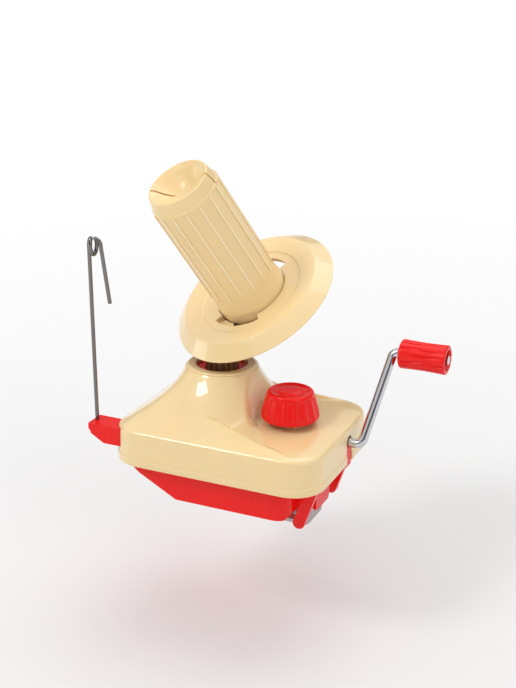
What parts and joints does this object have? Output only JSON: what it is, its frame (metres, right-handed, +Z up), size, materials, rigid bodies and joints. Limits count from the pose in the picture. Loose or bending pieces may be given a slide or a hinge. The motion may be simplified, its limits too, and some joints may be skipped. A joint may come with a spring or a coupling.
{
  "type": "yarn ball winder",
  "caption": "Hand-cranked yarn ball winder: crank, crown wheel and pinion turn a tilted flyer disc with a counter-spinning ribbed cone, with a wire yarn guide and a table clamp.",
  "frame": {"origin": "on the tray's flat underside, the face that rests on the table top, under the middle of the housing in plan", "axes": "+X along the crank shaft towards the crank, +Y towards the back, +Z up; the legs, the clamp jaw and the turned crank reach below z = 0 past the table's edge"},
  "size_m": [0.1757, 0.1121, 0.189],
  "materials": {
    "cream_plastic": "cream moulded plastic, glossy",
    "red_plastic": "red moulded plastic, glossy",
    "brown_plastic": "dark brown moulded plastic, satin",
    "white_plastic": "natural white moulded plastic, satin",
    "chromed_steel": "bright plated steel rod and wire",
    "screw_steel": "plain plated steel",
    "zinc_steel": "zinc-plated stamped steel",
    "pad_rubber": "black rubber"
  },
  "bodies": {
    "base": {"bottom_tray": "red_plastic", "top_cover": "cream_plastic", "case_screws": "screw_steel", "floor_bearing": "red_plastic", "neck_bearing": "red_plastic", "sun_gear": "brown_plastic", "shaft_cap": "red_plastic", "deck_bush": "cream_plastic"},
    "crank": {"crank_rod": "chromed_steel", "drive_wheel": "white_plastic", "shaft_clip": "screw_steel", "push_nut": "screw_steel"},
    "grip": {"crank_grip": "red_plastic"},
    "rotor": {"spindle": "chromed_steel", "pinion": "white_plastic", "flyer_disc": "cream_plastic", "spindle_clip": "screw_steel"},
    "cone": {"winding_cone": "cream_plastic", "planet_gear": "brown_plastic", "cone_washer": "screw_steel", "cone_screw": "screw_steel"},
    "knob": {"clamp_knob": "red_plastic", "clamp_screw": "screw_steel"},
    "jaw": {"jaw_bracket": "zinc_steel", "jaw_nut": "zinc_steel", "jaw_pad": "pad_rubber"},
    "arm": {"guide_arm": "red_plastic"},
    "wire": {"guide_wire": "chromed_steel"}
  },
  "joints": [
    {"name": "crank_turn", "type": "hinge", "parent": "base", "child": "crank", "pos_m": [0.03, 0.0073, 0.029], "axis": [1, 0, 0], "continuous": true},
    {"name": "grip_spin", "type": "hinge", "parent": "crank", "child": "grip", "pos_m": [0.088, 0.02996, 0.07424], "axis": [1, 0, 0], "continuous": true},
    {"name": "rotor_turn", "type": "hinge", "parent": "base", "child": "rotor", "pos_m": [-0.0158, 0.0073, 0.04], "axis": [0, 0, 1], "continuous": true},
    {"name": "cone_spin", "type": "hinge", "parent": "rotor", "child": "cone", "pos_m": [-0.0158, 0.0073, 0.1268], "axis": [-0.2686, -0.5052, 0.8201], "continuous": true},
    {"name": "knob_turn", "type": "hinge", "parent": "base", "child": "knob", "pos_m": [0.028, -0.0008, 0.045], "axis": [0, 0, 1], "range_deg": [-630, 2700]},
    {"name": "jaw_slide", "type": "slide", "parent": "base", "child": "jaw", "axis": [0, 0, -1], "range_m": [-0.0035, 0.015]},
    {"name": "arm_slide", "type": "slide", "parent": "base", "child": "arm", "axis": [-1, 0, 0], "range_m": [0, 0.034]},
    {"name": "wire_swivel", "type": "hinge", "parent": "arm", "child": "wire", "pos_m": [-0.0703, -0.034, 0.03], "axis": [0, 0, 1], "range_deg": [-180, 0]}
  ],
  "couplings": [
    {"joint": "rotor_turn", "follows": "crank_turn", "ratio": 4},
    {"joint": "cone_spin", "follows": "crank_turn", "ratio": 1.2549},
    {"joint": "knob_turn", "follows": "jaw_slide", "rad_per_m": 3141.6}
  ]
}
